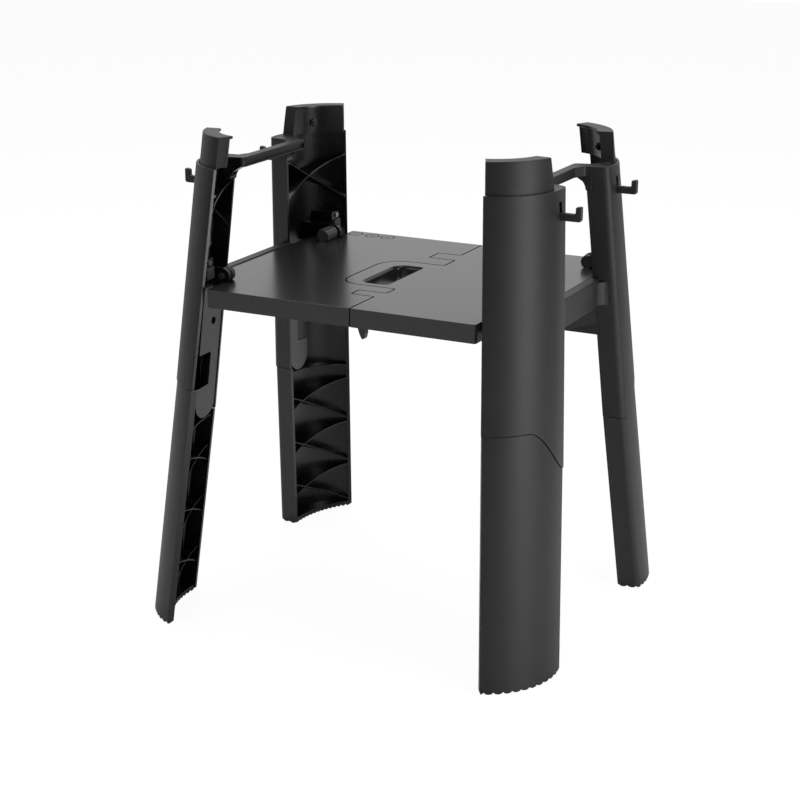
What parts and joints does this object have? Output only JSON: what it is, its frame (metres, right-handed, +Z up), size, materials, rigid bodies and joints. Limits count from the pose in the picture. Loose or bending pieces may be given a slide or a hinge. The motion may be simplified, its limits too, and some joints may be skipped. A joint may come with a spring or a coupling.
{
  "type": "folding appliance stand",
  "caption": "Folding plastic stand with curved splayed legs, ribbed inside, side crossbars, and a glossy shelf whose halves hinge up into a carrying handle.",
  "frame": {"origin": "on the floor, under the middle of the shelf", "axes": "+Z up, -Y the front edge of the shelf, +X to the side of the handle's hinge"},
  "size_m": [0.6224, 0.549, 0.687],
  "materials": {
    "frame_black": "fine matte texture outside, smooth inside",
    "leg_black": "fine matte texture outside, smooth inside",
    "cap_black": "fine matte texture",
    "hook_black": "grained",
    "control_black": "grained",
    "shelf_gloss": "glossy top",
    "steel": "plated"
  },
  "bodies": {
    "frame_left": {"side_frame_left": "frame_black", "lower_leg_front_left": "leg_black", "lower_leg_back_left": "leg_black", "leg_screw_front_left": "steel", "leg_screw_back_left": "steel", "top_cap_front_left": "cap_black", "top_cap_back_left": "cap_black", "cap_screw_front_left": "steel", "cap_screw_back_left": "steel", "tool_hook_front_left": "hook_black", "tool_hook_back_left": "hook_black", "lock_screw_front_left": "steel", "lock_screw_back_left": "steel", "pivot_pin_front_left": "steel", "pivot_pin_back_left": "steel", "lock_spring_front_left": "steel", "lock_spring_back_left": "steel"},
    "shelf_left_half": {"shelf_left": "shelf_gloss", "hinge_pin_front": "steel", "hinge_pin_back": "steel"},
    "shelf_right_half": {"shelf_right": "shelf_gloss", "lever_pin": "steel"},
    "frame_right": {"side_frame_right": "frame_black", "lower_leg_front_right": "leg_black", "lower_leg_back_right": "leg_black", "leg_screw_front_right": "steel", "leg_screw_back_right": "steel", "top_cap_front_right": "cap_black", "top_cap_back_right": "cap_black", "cap_screw_front_right": "steel", "cap_screw_back_right": "steel", "tool_hook_front_right": "hook_black", "tool_hook_back_right": "hook_black", "lock_screw_front_right": "steel", "lock_screw_back_right": "steel", "pivot_pin_front_right": "steel", "pivot_pin_back_right": "steel", "lock_spring_front_right": "steel", "lock_spring_back_right": "steel"},
    "lever": {"release_lever": "control_black"},
    "button_front_left": {"lock_button_front_left": "control_black"},
    "button_back_left": {"lock_button_back_left": "control_black"},
    "button_front_right": {"lock_button_front_right": "control_black"},
    "button_back_right": {"lock_button_back_right": "control_black"}
  },
  "joints": [
    {"name": "left_fold", "type": "hinge", "parent": "frame_left", "child": "shelf_left_half", "pos_m": [-0.207, 0, 0.4914], "axis": [0, -1, 0], "range_deg": [0, 72]},
    {"name": "centre_fold", "type": "hinge", "parent": "shelf_left_half", "child": "shelf_right_half", "pos_m": [0.004, 0, 0.4617], "axis": [0, 1, 0], "range_deg": [0, 144]},
    {"name": "right_fold", "type": "hinge", "parent": "shelf_right_half", "child": "frame_right", "pos_m": [0.215, 0, 0.4914], "axis": [0, -1, 0], "range_deg": [0, 72]},
    {"name": "lever_turn", "type": "hinge", "parent": "shelf_right_half", "child": "lever", "pos_m": [0.05, -0.19, 0.461], "axis": [0, 1, 0], "range_deg": [0, 16], "stiffness_Nm_per_rad": 0.05, "springref_deg": -5.73},
    {"name": "button_front_left_press", "type": "slide", "parent": "frame_left", "child": "button_front_left", "axis": [-1, 0, 0], "range_m": [0, 0.0025], "stiffness_N_per_m": 300, "springref_m": -0.001},
    {"name": "button_back_left_press", "type": "slide", "parent": "frame_left", "child": "button_back_left", "axis": [-1, 0, 0], "range_m": [0, 0.0025], "stiffness_N_per_m": 300, "springref_m": -0.001},
    {"name": "button_front_right_press", "type": "slide", "parent": "frame_right", "child": "button_front_right", "axis": [1, 0, 0], "range_m": [0, 0.0025], "stiffness_N_per_m": 300, "springref_m": -0.001},
    {"name": "button_back_right_press", "type": "slide", "parent": "frame_right", "child": "button_back_right", "axis": [1, 0, 0], "range_m": [0, 0.0025], "stiffness_N_per_m": 300, "springref_m": -0.001}
  ],
  "couplings": [
    {"joint": "centre_fold", "follows": "left_fold", "ratio": 2},
    {"joint": "right_fold", "follows": "left_fold", "ratio": 1}
  ]
}
